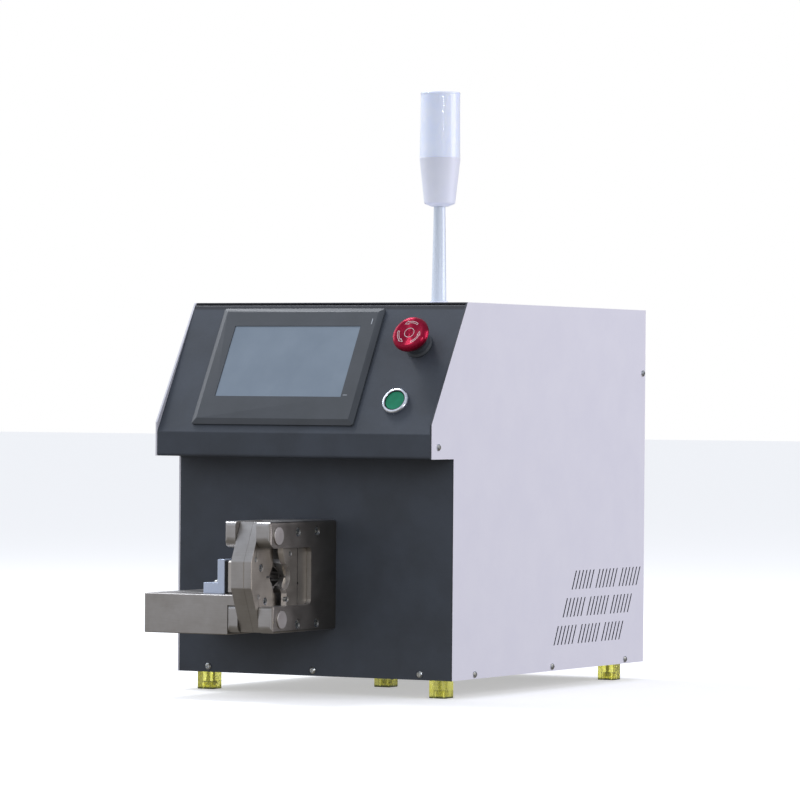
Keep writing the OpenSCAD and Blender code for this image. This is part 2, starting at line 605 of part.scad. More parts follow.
// Die faces, drawn for the upper front; the rest are mirror images about the crimp axis
module nose_outline() {
    play = 0.4;
    root = v_dist / cos(30) - shut_half * 0.26;
    polygon([[-crimp_open, shut_half - play], [-crimp_open - crimp_stroke / 4 + play, 1.07 - play],
        [-root - 0.3, 0.98], [-v_deep - 5.5, 0.98], [-v_deep - 5.5, -0.98], [-root - 0.3, -0.98],
        [-crimp_open - crimp_stroke / 4 + play, play - 1.07], [-crimp_open, play - shut_half]]);
}
module front_jaw_outline() {
    notch = -crimp_stroke / 2 - 0.25;
    foot = [-crimp_open, crimp_open * tan(30)] + gap * [cos(30), -sin(30)];
    top = v_dist + gap / 3;
    polygon([foot, foot + 12.3 * [sin(30), cos(30)], [(v_dist / 2 - v_close - gap) / cos(30), top],
        [notch, top], [notch, foot[1] + (notch - foot[0]) * tan(30)]]);
}
module rear_jaw_outline() {
    top = v_dist - gap / 3;
    foot = [crimp_open, crimp_open * tan(30)] - gap * [cos(30), sin(30)];
    polygon([foot, [foot[0] - (top - foot[1]) / tan(30), top], [foot[0] - (top - foot[1]) * tan(30), top]]);
}
module front_nose_die() color("#6f6d6a") in_case() on_axis() along_x(die_x0, die_x1) nose_outline();
module rear_nose_die() color("#6f6d6a") in_case() on_axis() along_x(die_x0, die_x1) mirror([1, 0])
    nose_outline();
module front_jaw() {
    along_x(die_x0, die_x1) front_jaw_outline();
    along_x(key_x0, key_x1) v_key(150, key_deep, -11, -2);
}
module rear_jaw() {
    along_x(die_x0, die_x1) rear_jaw_outline();
    along_x(key_x0, key_x1) v_key(30, key_deep, 1, 4.6);
}
module upper_front_jaw() color("#777573") in_case() on_axis() front_jaw();
module lower_front_jaw() color("#777573") in_case() on_axis() mirror([0, 0, 1]) front_jaw();
module upper_rear_jaw() color("#7d7b78") in_case() on_axis() rear_jaw();
module lower_rear_jaw() color("#7d7b78") in_case() on_axis() mirror([0, 0, 1]) rear_jaw();

// Ram: die holder with its own V, a cheek on each side, and the plate that the rod pushes
holder_front = 6.5;
holder_half = [for (p = [[0, v_deep], [(v_dist - holder_front * cos(30)) / sin(30), holder_front],
    [14, holder_front], [18, 14.5], [ram_half, 14.5], [ram_half, ram_seam - crimp_y]]) [p[1], p[0]]];
module die_holder() color("#85827e") in_case() on_axis() difference() {
    lower_half = [for (i = [len(holder_half) - 1:-1:1]) [holder_half[i][0], -holder_half[i][1]]];
    along_x(-cheek_x, cheek_x) polygon(concat(holder_half, lower_half));
    along_x(key_x0 - gap, key_x1 + gap) {
        v_key(30, key_deep + gap, -5.5, 6.5);
        v_key(-30, key_deep + gap, -6.5, 5.5);
    }
    block(-cheek_x - 1, cheek_x + 1, v_deep - 1, v_deep + 6, -1.05, 1.05);
}
cheek_bow_r = 14.4;
cheek_bow = [-2.1, -0.2];
cheek_back = ram_seam - crimp_y - seam_gap;
cheek_path = concat(
    [[cheek_back, -ram_half], [4.6, -ram_half], [4.9, -17.8]],
    [for (a = [-72:12.5:53]) cheek_bow + cheek_bow_r * [cos(a), sin(a)]],
    [[2.6, 14.1], [2.9, 14.6], [2.2, 14.9], [1.9, 14.8]],
    fillet([1.9, 14.8], [-2.8, 25], [-3, ram_half], 8, 3),
    [[-3, ram_half], [cheek_back, ram_half]]);
module ram_cheeks() color("#8f8c88") in_case() for (s = [-1, 1]) difference() {
    on_axis() along_x(s > 0 ? cheek_x : -ram_x, s > 0 ? ram_x : -cheek_x) polygon(cheek_path);
    for (at = cheek_screws) rod_x(cap_screw_r - 0.7, s * ram_x - 4, s * ram_x + 4, at);
    for (at = cheek_screws) rod_x(1.55, s * ram_x - 8, s * ram_x + 8, at);
    rod_x(1.7, s * ram_x - 3, s * ram_x + 3, [ram_seam, crimp_z - 7.5]);
}
module ram_screws() color("#9a9a9c") in_case() for (s = [-1, 1], at = cheek_screws)
    translate([s * (ram_x - 4), at[0], at[1]]) rotate([0, s * 90, 0])
        cap_screw(cap_screw_r - 0.9, 3.2, 1.5, 2.4, 1.5);
plate_back = -yoke_back - gap;
plate_path = concat([[ram_seam, ram_half]],
    fillet([ram_seam, ram_half], [plate_back, ram_half], [plate_back, 0], 6, 6),
    fillet([plate_back, 0], [plate_back, -ram_half], [ram_seam, -ram_half], 6, 6), [[ram_seam, -ram_half]]);
module ram_plate() color("#8b8884") in_case() difference() {
    translate([0, 0, crimp_z]) along_x(-ram_x, ram_x) polygon(plate_path);
    rod_y(rod_end_r, -yoke_back - 12, 0, [0, crimp_z]);
    for (s = [-1, 1]) rod_x(1.7, s * ram_x - 3, s * ram_x + 3, [ram_seam, crimp_z - 7.5]);
}
module ram_rod() color("#b4b6b8") in_case() translate([0, 0, crimp_z]) rotate([-90, 0, 0]) rotate_extrude()
    polygon([[0, -yoke_back - 11.5], [rod_end_r, -yoke_back - 11.5], [rod_end_r, -yoke_back],
        [rod_r, -yoke_back], [rod_r, carriage_y0], [rod_end_r, carriage_y0], [rod_end_r, carriage_y0 + 6],
        [0, carriage_y0 + 6]]);

// Rest block beside the head: its front reaches over the lower arm, and the wire stop slides in its tee slot
module rest_block() color("#8f8c8a") in_case() difference() {
    c = 0.8;
    intersection() {
        along_x(block_x0, shelf_x1) translate([-block_reach / 2, block_z0 + block_h / 2])
            polygon(cut_square(block_reach, block_h, c));
        along_y(-block_reach, 0) polygon([[block_x0 + c, block_z0], [block_x1 - c, block_z0],
            [block_x1, block_z0 + c], [block_x1, shelf_z], [shelf_x1, shelf_z], [shelf_x1, block_top - c],
            [shelf_x1 - c, block_top], [block_x0 + c, block_top], [block_x0, block_top - c],
            [block_x0, block_z0 + c]]);
        along_z(block_z0, block_top) polygon([[block_x0 + c, -block_reach], [shelf_x1 - c, -block_reach],
            [shelf_x1, c - block_reach], [shelf_x1, shelf_back], [block_x1, shelf_back], [block_x1, -c],
            [block_x1 - c, 0], [block_x0 + c, 0], [block_x0, -c], [block_x0, c - block_reach]]);
    }
    along_x(block_x0 - 1, block_x1 + 1) translate([slide_mid, 0]) {
        translate([-tee_w / 2, tee_z - 1]) square([tee_w, block_top - tee_z + 2]);
        translate([-tee_head_w / 2, tee_z - tee_deep]) square([tee_head_w, tee_deep]);
    }
}
module stop_bracket() color("#b5c0d2") in_case() difference() {
    intersection() {
        along_y(slide_y0, slide_y1) translate([slide_x0, block_top])
            polygon([[0, 0], [slide_l, 0], [slide_l, slide_post_h], [slide_l - slide_post_t, slide_post_h],
                [slide_l - slide_post_t, slide_foot_t], [0, slide_foot_t]]);
        along_z(block_top, block_top + slide_post_h)
            translate([slide_x0 + slide_l / 2, slide_mid])
                polygon(cut_square(slide_l, slide_y1 - slide_y0, 0.7));
    }
    rod_z(2.7, block_top - 1, block_top + slide_foot_t + 1, [slide_x0 + 12, slide_mid]);
    for (z = [17, 29]) rod_x(2.1, slide_x1 - 20, slide_x1 + 1, [slide_mid, block_top + z]);
}
module stop_pad() color("#1c1d20") in_case() translate([slide_x1, 0, block_top])
    block(0, 4.4, slide_y0 + 0.5, slide_y1 - 0.5, 0.6, 34.4);
module stop_plate() color("#a7a9ac") in_case() translate([slide_x1 + 4.4, 0, block_top]) difference() {
    along_x(0, 4.1) translate([slide_mid, 17.7]) polygon(cut_square(24, 34.8, 1.5));
    rod_x(1.2, 1, 5, [crimp_y, crimp_z - block_top]);
}
module stop_screw() color("#b8bcc2") in_case() translate([slide_x0 + 12, slide_mid, 0]) {
    translate([0, 0, block_top + slide_foot_t]) difference() {
        rotate_extrude() polygon([[0, 0], [4.8, 0], [4.6, 1.2], [3.4, 2.4], [1.5, 2.8], [0, 2.8]]);
        translate([0, 0, 1.2]) cylinder(h = 3, r = 1.8, $fn = 6);
    }
    rod_z(2.5, tee_z - 2, block_top + slide_foot_t + eps, [0, 0]);
    along_z(tee_z - tee_deep + 0.4, tee_z - 0.3) square(tee_head_w - 0.6, center = true);
}

// Drive
module head_bracket() color("#6d7175") in_case() difference() {
    union() {
        block(-88, 88, rear_seat, rear_seat + bracket_t, sheet_t, 196);
        block(-88, 88, rear_seat, 90, sheet_t, 14);
        for (s = [-1, 1]) along_x(s * 80 - 5, s * 80 + 5)
            polygon([[rear_seat + 10, 10], [88, 10], [88, 20], [rear_seat + 20, 150], [rear_seat + 10, 150]]);
    }
    rod_y(rod_r + 1, 0, 40, [0, crimp_z]);
    for (sx = [-1, 1], sz = [-1, 1]) rod_y(4.3, 0, 40, [sx * 16, crimp_z + sz * 42]);
}
module guide_rods() color("#c3c6c9") in_case() for (s = [-1, 1])
    rod_y(guide_r, rear_seat + bracket_t, bearing_y0, [s * guide_x, crimp_z]);
module nut_carriage() color("#7b8086") in_case() difference() {
    translate([0, (carriage_y0 + carriage_y1) / 2, crimp_z])
        cut_block([92, carriage_y1 - carriage_y0, 56], 1.5);
    for (s = [-1, 1]) rod_y(guide_r + run, carriage_y0 - 1, carriage_y1 + 1, [s * guide_x, crimp_z]);
    rod_y(rod_end_r + 0.02, carriage_y0 - 1, carriage_y0 + 6.2, [0, crimp_z]);
    rod_y(spindle_r + 1, carriage_y0 + 8.5, carriage_y1 + 1, [0, crimp_z]);
}
module ball_nut() color("#a9adb1") in_case() difference() {
    union() {
        rod_y(24, carriage_y1, carriage_y1 + 10, [0, crimp_z]);
        rod_y(14, carriage_y1, nut_end, [0, crimp_z]);
    }
    rod_y(spindle_r + run, carriage_y1 - 1, nut_end + 1, [0, crimp_z]);
    for (a = [30:60:330])
        rod_y(2.7, carriage_y1 + 4, carriage_y1 + 11, [19 * cos(a), crimp_z + 19 * sin(a)]);
}
module ball_screw() color("#b9bcc0") in_case() rod_y(spindle_r, carriage_y0 + 11, spindle_end, [0, crimp_z]);
module bearing_block() color("#6d7175") in_case() difference() {
    union() {
        block(-48, 48, bearing_y0, bearing_y1, sheet_t, 150);
        block(-48, 48, bearing_y0, bearing_y1 + 34, sheet_t, 14);
        rod_y(21, bearing_y0, bearing_y1 + 6, [0, crimp_z]);
    }
    rod_y(spindle_r + run, bearing_y0 - 1, bearing_y1 + 8, [0, crimp_z]);
}
module shaft_coupling() color("#9fa7b5") in_case() difference() {
    rod_y(17, coupling_y0, coupling_y1, [0, crimp_z]);
    rod_y(spindle_r + eps, coupling_y0 - 1, spindle_end + 0.5, [0, crimp_z]);
    rod_y(shaft_r + eps, motor_shaft_y0 - 2, coupling_y1 + 1, [0, crimp_z]);
    for (y = [coupling_y0 + 10, coupling_y1 - 12], s = [-1, 1])
        translate([s * 15, y, crimp_z]) cube([18, 1.4, 40], center = true);
}
module motor_shaft() color("#c3c6c9") in_case() rod_y(shaft_r, motor_shaft_y0, 245, [0, crimp_z]);
module motor_mount() color("#6d7175") in_case() difference() {
    union() {
        block(-42, 42, mount_y0, mount_y1, sheet_t, 146);
        block(-42, 42, mount_y0, mount_y1 + 40, sheet_t, 12);
    }
    rod_y(pilot_r + run, mount_y0 - 1, mount_y1 + 1, [0, crimp_z]);
    for (sx = [-1, 1], sz = [-1, 1]) rod_y(2.8, mount_y0 - 1, mount_y1 + 1, [sx * 24.7, crimp_z + sz * 24.7]);
}
module servo_motor() color("#26282c") in_case() translate([0, mount_y1, crimp_z]) difference() {
    union() {
        along_y(0, 8) round_rect(60, 60, 4);
        along_y(8, 92) round_rect(57, 57, 6);
        along_y(92, 122) round_rect(50, 50, 5);
        rod_y(pilot_r, -6, 1, [0, 0]);
        block(-9, 9, 74, 90, 25, 40);
        block(-8, 8, 96, 112, 22, 36);
    }
    rod_y(shaft_r + run, -7, 40, [0, 0]);
    for (sx = [-1, 1], sz = [-1, 1]) rod_y(2.8, -1, 9, [sx * 24.7, sz * 24.7]);
}

// Electrics
module servo_drive() color("#2d3036") in_case() translate([78, 300, sheet_t]) difference() {
    translate([26, 65, 80]) cut_block([52, 130, 160], 1.5);
    for (i = [0:8]) block(44, 53, 14 + 12 * i, 19 + 12 * i, 12, 148);
    for (z = [14, 60, 104]) block(6, 40, -1, 6, z, z + 30);
}
module power_supply() color("#aeb3b8") in_case() translate([-155, 205, sheet_t]) difference() {
    block(0, 113, 0, 215, 0, 34);
    block(8, 105, -1, 16, 9, 35);
    for (i = [0:6], j = [0:3])
        translate([20 + 12 * i, 60 + 30 * j, 32]) along_z(0, 3) square([5, 18], center = true);
}
rocker_tilt = 9;
rocker_up = 15;
trunnion_r = 1.2;
module mains_inlet() color("#1f2023") in_case() translate([inlet_at[0], case_d, inlet_at[1]]) {
    difference() {
        union() {
            along_y(0, 2.6) round_rect(33, 64, 3);
            block(-13.7, 13.7, -24, 1, -28.7, 28.7);
        }
        along_y(-16, 4) translate([0, -12])
            polygon([[-11.8, -8.3], [11.8, -8.3], [11.8, 4.6], [8.2, 8.3], [-8.2, 8.3], [-11.8, 4.6]]);
        block(-7, 7, -13, 4, rocker_up - 11.9, rocker_up + 11.9);
        rod_x(trunnion_r + run, -9, 9, [-1, rocker_up]);
    }
    for (pin = [[-7, -14.5], [0, -10.2], [7, -14.5]])
        block(pin[0] - 1, pin[0] + 1, -17, -5, pin[1], pin[1] + 3.6);
}
module power_rocker() color("#8e1c22") in_case()
    translate([inlet_at[0], case_d - 1, inlet_at[1] + rocker_up]) rotate([-rocker_tilt, 0, 0]) {
        along_x(-6.4, 6.4)
            polygon([[-7, -3.6], [-7, 3.6], [0.4, 10.6], [3.6, 10.2], [1.8, 0], [3.6, -10.2], [0.4, -10.6]]);
        rod_x(trunnion_r, -8.8, 8.8, [0, 0]);
    }
module pedal_socket() color("#a4a8ad") in_case() translate([pedal_at[0], case_d, pedal_at[1]]) difference() {
    union() {
        rod_y(12, 0, 2, [0, 0]);
        rod_y(8, -18, rear_proud, [0, 0]);
        translate([0, -1.5, 0]) rotate([90, 0, 0]) cylinder(h = 3, r = 11, $fn = 6);
    }
    rod_y(6.2, -6, 7, [0, 0]);
}

// Fan on the back panel
module fan_frame() color("#1d1e20") in_case() translate([fan_at[0], case_d - sheet_t - 25, fan_at[1]]) {
    difference() {
        along_y(0, 25) round_rect(fan_side, fan_side, 5);
        rod_y(fan_bore_r, -1, 26, [0, 0]);
        for (sx = [-1, 1], sz = [-1, 1]) rod_y(2.2, -1, 26, [sx, sz] * fan_hole);
        for (a = [0:90:270]) rotate([0, a, 0]) block(-26, 26, 4, 21, 38.6, 41);
    }
    rod_y(17, 0, 4, [0, 0]);
    rod_y(2, 0, 16, [0, 0]);
    for (a = [45:90:315]) rotate([0, a, 0]) block(-2, 2, 0, 3, 15, 39);
}
fan_blades = 7;
blade_pitch = 38;
module blade_outline() rotate(blade_pitch) intersection() {
    translate([0, -16]) difference() {
        circle(20);
        circle(18.4);
    }
    square([22, 12], center = true);
}
module fan_rotor() color("#26282b") in_case()
    translate([fan_at[0], case_d - sheet_t - 25, fan_at[1]]) difference() {
        union() {
            rod_y(18, 5, 23, [0, 0]);
            for (i = [1:fan_blades]) rotate([0, 360 / fan_blades * i, 0])
                along_z(16, 36) translate([0, 14]) blade_outline();
        }
        rod_y(2 + run, 4, 16.5, [0, 0]);
    }
module fan_guard() color("#b8bcc2") in_case() translate([fan_at[0], case_d, fan_at[1]]) {
    wire = 0.9;
    for (r = [12, 20, 28, 36])
        rotate([-90, 0, 0]) translate([0, 0, 3.2]) rotate_extrude() translate([r, 0]) circle(wire, $fn = 16);
    for (a = [45:90:315]) rotate([0, a, 0]) translate([0, 0.9 + wire, 0]) {
        translate([-wire, -wire, 10]) cube([2 * wire, 2 * wire, 40.5]);
        translate([0, -1.8, 50.5]) rotate([-90, 0, 0]) difference() {
            cylinder(h = 1.8, r = 3.6);
            translate([0, 0, -1]) cylinder(h = 4, r = 2.1);
        }
    }
}

base_tray();
front_panel();
left_side_panel();
right_side_panel();
top_cover();
rear_panel();
panel_screws();
feet();
foot_screws();
hmi_housing();
hmi_screen();
stop_collar();
stop_plunger();
stop_mushroom();
start_ring();
start_button();
contact_blocks();
lamp_foot();
lamp_pole();
lamp_base();
lamp_lens();
yoke();
gate_body();
gate_cheek();
head_screws();
gate_pins();
front_nose_die();
rear_nose_die();
upper_front_jaw();
lower_front_jaw();
upper_rear_jaw();
lower_rear_jaw();
die_holder();
ram_cheeks();
ram_screws();
ram_plate();
ram_rod();
rest_block();
stop_bracket();
stop_pad();
stop_plate();
stop_screw();
head_bracket();
ball_screw();
ball_nut();
nut_carriage();
guide_rods();
bearing_block();
shaft_coupling();
servo_motor();
motor_shaft();
motor_mount();
servo_drive();
power_supply();
mains_inlet();
power_rocker();
pedal_socket();
fan_frame();
fan_rotor();
fan_guard();
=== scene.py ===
import json
import math

import bmesh
import bpy
from mathutils import Matrix, Vector


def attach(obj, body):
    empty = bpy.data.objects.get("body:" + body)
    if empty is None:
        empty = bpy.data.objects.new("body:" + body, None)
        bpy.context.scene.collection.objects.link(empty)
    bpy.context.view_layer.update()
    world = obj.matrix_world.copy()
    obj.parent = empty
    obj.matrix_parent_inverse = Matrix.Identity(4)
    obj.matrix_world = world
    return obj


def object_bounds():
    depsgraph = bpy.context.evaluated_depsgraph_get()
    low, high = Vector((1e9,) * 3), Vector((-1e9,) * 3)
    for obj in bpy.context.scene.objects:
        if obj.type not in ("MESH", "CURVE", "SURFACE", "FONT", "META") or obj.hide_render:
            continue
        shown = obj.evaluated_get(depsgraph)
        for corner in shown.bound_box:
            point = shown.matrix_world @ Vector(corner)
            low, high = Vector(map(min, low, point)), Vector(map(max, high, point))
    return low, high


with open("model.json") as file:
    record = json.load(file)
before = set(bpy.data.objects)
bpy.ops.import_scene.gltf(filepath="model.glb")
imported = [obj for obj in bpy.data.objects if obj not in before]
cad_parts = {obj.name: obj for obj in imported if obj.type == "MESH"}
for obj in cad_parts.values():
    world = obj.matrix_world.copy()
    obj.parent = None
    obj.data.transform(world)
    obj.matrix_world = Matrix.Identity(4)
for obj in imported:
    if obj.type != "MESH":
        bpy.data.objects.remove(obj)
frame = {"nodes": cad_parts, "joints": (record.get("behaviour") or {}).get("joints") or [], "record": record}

# Bench-top crimping machine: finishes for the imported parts, and the small printed, lit and moulded pieces
# on them. Metres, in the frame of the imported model: X across the front, Y from front to back, Z up.

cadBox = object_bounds()
mm = 0.001
nodes = frame["nodes"]
joints = {joint["name"]: joint for joint in frame["joints"]}
slotOf = {part["node"]: part["material_slot"] for part in frame["record"]["subparts"]}


def addNode(tree, kind, settings=None, links=None):
    # A key is a socket's name or number, or else the name of one of the node's own properties
    node = tree.nodes.new(kind)
    for name, value in (settings or {}).items():
        if isinstance(name, int) or name in node.inputs:
            node.inputs[name].default_value = value
        else:
            setattr(node, name, value)
    for name, socket in (links or {}).items():
        tree.links.new(socket, node.inputs[name])
    return node


def linear(hexColour):
    channels = [int(hexColour[i:i + 2], 16) / 255 for i in (1, 3, 5)]
    return [c / 12.92 if c <= 0.04045 else ((c + 0.055) / 1.055) ** 2.4 for c in channels] + [1]


# Camera: solved from the case's edges in the photograph, so the view lines up with it
print("camera")
photoView = {
    "focalPixels": 4780.4,
    "widthPixels": 800,
    "sensorMm": 36,
    "position": (2.53204, -4.66714, 0.32157),
    "yaw": 28.3236,    # the three angles are in degrees
    "pitch": 0.030,
    "roll": 0.4541,
}


def makeCamera(view):
    yaw, pitch, roll = (math.radians(view[angle]) for angle in ("yaw", "pitch", "roll"))
    forward = Vector((-math.sin(yaw) * math.cos(pitch), math.cos(yaw) * math.cos(pitch), -math.sin(pitch)))
    level = Vector((math.cos(yaw), math.sin(yaw), 0))
    upright = level.cross(forward)
    right = level * math.cos(roll) + upright * math.sin(roll)
    top = upright * math.cos(roll) - level * math.sin(roll)
    data = bpy.data.cameras.new("photoCamera")
    data.sensor_width = view["sensorMm"]
    data.lens = view["focalPixels"] / view["widthPixels"] * view["sensorMm"]
    camera = bpy.data.objects.new("photoCamera", data)
    bpy.context.scene.collection.objects.link(camera)
    turn = Matrix((right, top, -forward)).transposed().to_4x4()
    camera.matrix_world = Matrix.Translation(view["position"]) @ turn
    bpy.context.scene.camera = camera


makeCamera(photoView)

# Building blocks of the finishes
patterns = {
    "mouldedCloudMm": 45,       # slow changes of tone in a moulded or coated face
    "machinedCloudMm": 24,      # and in a ground or milled one
    "spread": (0.3, 0.7),       # nearly all of a noise lies between these
    "tonesAt": (0.35, 0.65),    # where it has reached its darker and its lighter tone
}


def startMaterial(name, settings=None):
    material = bpy.data.materials.new(name)
    material.use_nodes = True
    tree = material.node_tree
    tree.nodes.clear()
    shader = addNode(tree, "ShaderNodeBsdfPrincipled", settings)
    addNode(tree, "ShaderNodeOutputMaterial", links={"Surface": shader.outputs["BSDF"]})
    place = addNode(tree, "ShaderNodeTexCoord").outputs["Object"]
    return material, tree, shader, place


def patternOf(tree, place, sizeMm, stretch=(1, 1, 1), detail=2):
    # A noise whose spots are sizeMm across, or drawn out along the axes where stretch is over 1
    scale = [1 / (sizeMm * mm * s) for s in stretch]
    spread = addNode(tree, "ShaderNodeVectorMath", {"operation": "MULTIPLY", 1: scale}, {0: place})
    noise = addNode(tree, "ShaderNodeTexNoise", {"Scale": 1, "Detail": detail, "Roughness": 0.6},
                    {"Vector": spread.outputs[0]})
    return noise.outputs["Fac"]


def setStops(ramp, positions, hexColours):
    stops = ramp.color_ramp.elements
    for position in positions[len(stops):]:
        stops.new(position)
    for stop, position, hexColour in zip(stops, positions, hexColours):
        stop.position = position
        stop.color = linear(hexColour)


def layPatterns(tree, shader, tones, roughness, tone, dull=None, relief=None, depthMm=0,
                at=patterns["tonesAt"]):
    # The tone pattern moves the colour between two tones, the dull one the roughness between two values,
    # and the relief one stands out by depthMm. Without one of the last two, the tone pattern does its work.
    colour = addNode(tree, "ShaderNodeValToRGB", links={"Fac": tone})
    setStops(colour, at, tones)
    tree.links.new(colour.outputs["Color"], shader.inputs["Base Color"])
    (low, high), (smooth, rough) = patterns["spread"], roughness
    dullness = addNode(tree, "ShaderNodeMapRange",
                       {"From Min": low, "From Max": high, "To Min": smooth, "To Max": rough},
                       {"Value": dull or tone})
    tree.links.new(dullness.outputs["Result"], shader.inputs["Roughness"])
    if depthMm:
        bump = addNode(tree, "ShaderNodeBump", {"Distance": depthMm * mm}, {"Height": relief or tone})
        tree.links.new(bump.outputs["Normal"], shader.inputs["Normal"])


def evenFinish(name, tones, roughness, sizeMm, stretch=(1, 1, 1), detail=2, depthMm=0, base=None):
    # One pattern over the whole face, which moves its tone and its roughness together
    material, tree, shader, place = startMaterial(name, base)
    pattern = patternOf(tree, place, sizeMm, stretch, detail)
    layPatterns(tree, shader, tones, roughness, pattern, depthMm=depthMm)
    return material


def mouldedFinish(name, tones, roughness, grainMm, depthMm, base=None):
    # A moulded or coated face: an even colour with a faint cloud in it, and a fine grain that catches light
    material, tree, shader, place = startMaterial(name, base)
    cloud = patternOf(tree, place, patterns["mouldedCloudMm"], detail=3)
    grain = patternOf(tree, place, grainMm, detail=3)
    layPatterns(tree, shader, tones, roughness, cloud, dull=grain, relief=grain, depthMm=depthMm)
    return material


def machinedFinish(name, tones, roughness, lineMm, lineLength, depthMm=0.003, lineShare=0.3):
    # Ground, milled or rolled metal: short parallel lines, each lineLength times as long as it is wide,
    # over a slow change of tone from plating and handling
    material, tree, shader, place = startMaterial(name, {"Metallic": 1.0})
    lines = patternOf(tree, place, lineMm, (lineLength, lineLength, 1))
    cloud = patternOf(tree, place, patterns["machinedCloudMm"], detail=3)
    both = addNode(tree, "ShaderNodeMix", {"Factor": lineShare}, {"A": cloud, "B": lines}).outputs["Result"]
    layPatterns(tree, shader, tones, roughness, both, relief=lines, depthMm=depthMm)
    return material


def maskAlong(material, kind, axis, low, high):
    # 0 as far as low and 1 from high on, by the place ("Object") or by which way the face looks ("Normal")
    tree = material.node_tree
    coordinates = addNode(tree, "ShaderNodeTexCoord").outputs[kind]
    parts = addNode(tree, "ShaderNodeSeparateXYZ", links={0: coordinates})
    return addNode(tree, "ShaderNodeMapRange", {"From Min": low, "From Max": high},
                   {"Value": parts.outputs[axis]}).outputs["Result"]


def coverWhere(material, mask, hexColour, blend="MIX"):
    # Lays one more colour over a finish where the mask is 1
    tree = material.node_tree
    base = tree.nodes["Principled BSDF"].inputs["Base Color"]
    both = addNode(tree, "ShaderNodeMix",
                   {"data_type": "RGBA", "blend_type": blend, "B": linear(hexColour)},
                   {"Factor": mask, "A": base.links[0].from_socket})
    tree.links.new(both.outputs["Result"], base)
    return material


# Finishes: one for each slot of the record, and a few for single nodes
print("finishes")


def powderCoatLight():
    # Polyester powder coat on steel, baked: pale lilac grey, half matt, with a low orange peel. The real
    # peel is about 1 mm across, drawn at 2.6 mm so that it shows. The sheets' edges that face forward are
    # painted the dark of the front: painted shade in the seams beside the front sheet. The left panel's edge
    # is left out and shows as a pale line.
    material = mouldedFinish("powderCoatLight", ("#E0E0EB", "#E3E3ED"), (0.42, 0.50),
                             grainMm=2.6, depthMm=0.03)
    # Painted shade: faces that look forward, right of the left panel, take the front's dark colour
    forwardEdgesShade = maskAlong(material, "Normal", "Y", -0.3, -0.45)
    pastLeftPanel = maskAlong(material, "Object", "X", -167.1 * mm, -166.9 * mm)
    both = addNode(material.node_tree, "ShaderNodeMath", {"operation": "MULTIPLY"},
                   {0: forwardEdgesShade, 1: pastLeftPanel})
    return coverWhere(material, both.outputs[0], "#3A3F48")


def powderCoatCharcoal():
    # The same coat in charcoal blue: a fine sand texture, under 1 mm in life and drawn at 2.2 mm, breaks
    # its highlight into a soft sheen. A darker band is painted along the top bend, over the touch panel:
    # painted shade where the bend turns away from the light.
    material = mouldedFinish("powderCoatCharcoal", ("#40464F", "#464D58"), (0.48, 0.60),
                             grainMm=2.2, depthMm=0.05, base={"Specular IOR Level": 0.4})
    return coverWhere(material, maskAlong(material, "Object", "Z", 415.5 * mm, 417.5 * mm), "#2B2E36")


def galvanisedSheet():
    # Hot-dip galvanised steel: grey crystals about 9 mm across, each with its own sheen
    material, tree, shader, place = startMaterial("galvanisedSheet", {"Metallic": 1.0})
    crystals = addNode(tree, "ShaderNodeTexVoronoi", {"Scale": 1 / (9 * mm)}, {"Vector": place})
    shade = addNode(tree, "ShaderNodeSeparateColor", links={0: crystals.outputs["Color"]}).outputs[0]
    layPatterns(tree, shader, ("#989DA1", "#BCC1C5"), (0.38, 0.52), shade, at=(0.1, 0.9))
    return material


def brightZinc():
    # Bright zinc plating with a clear passivation: silvery, with small clouds of a blue and a straw cast
    return evenFinish("brightZinc", ("#AEB6C0", "#CDCBC0"), (0.22, 0.36),
                      sizeMm=3.5, base={"Metallic": 1.0})


def clearPolyurethane():
    # Cast polyurethane, see-through yellow: light goes deep into it and the screw shows as a shadow. Its
    # lowest 1.5 mm are painted a dark olive: painted shade from the ground below.
    material = evenFinish("clearPolyurethane", ("#F0EC5C", "#F8F68E"), (0.10, 0.20), sizeMm=5, base={
        "Transmission Weight": 0.8, "IOR": 1.42, "Coat Weight": 0.3, "Coat Roughness": 0.12})
    return coverWhere(material, maskAlong(material, "Object", "Z", 2.2 * mm, 1.0 * mm), "#6E7424")


def slateAbs():
    # Moulded ABS in slate grey, half matt from a spark-eroded grain: 0.3 mm in life, drawn at 1.1 mm
    return mouldedFinish("slateAbs", ("#41464C", "#464B52"), (0.42, 0.52), grainMm=1.1, depthMm=0.02)


def hardCoatedFilm():
    # Hard-coated polyester film over a dark display: an even blue grey that mirrors the room softly. Its
    # matt specks are 0.1 mm in life, drawn at 1.3 mm.
    material, tree, shader, place = startMaterial("hardCoatedFilm", {
        "Coat Weight": 0.35, "Coat Roughness": 0.18})
    film = patternOf(tree, place, sizeMm=60, detail=3)
    specks = patternOf(tree, place, sizeMm=1.3, detail=1)
    layPatterns(tree, shader, ("#7A8999", "#8190A0"), (0.30, 0.40), film, relief=specks, depthMm=0.004)
    return material


def blackPolyamide():
    # Moulded polyamide, dyed black: half matt, with a grain of 0.3 mm drawn at 1.2 mm
    return mouldedFinish("blackPolyamide", ("#1C1D20", "#232428"), (0.42, 0.58), grainMm=1.2, depthMm=0.03)


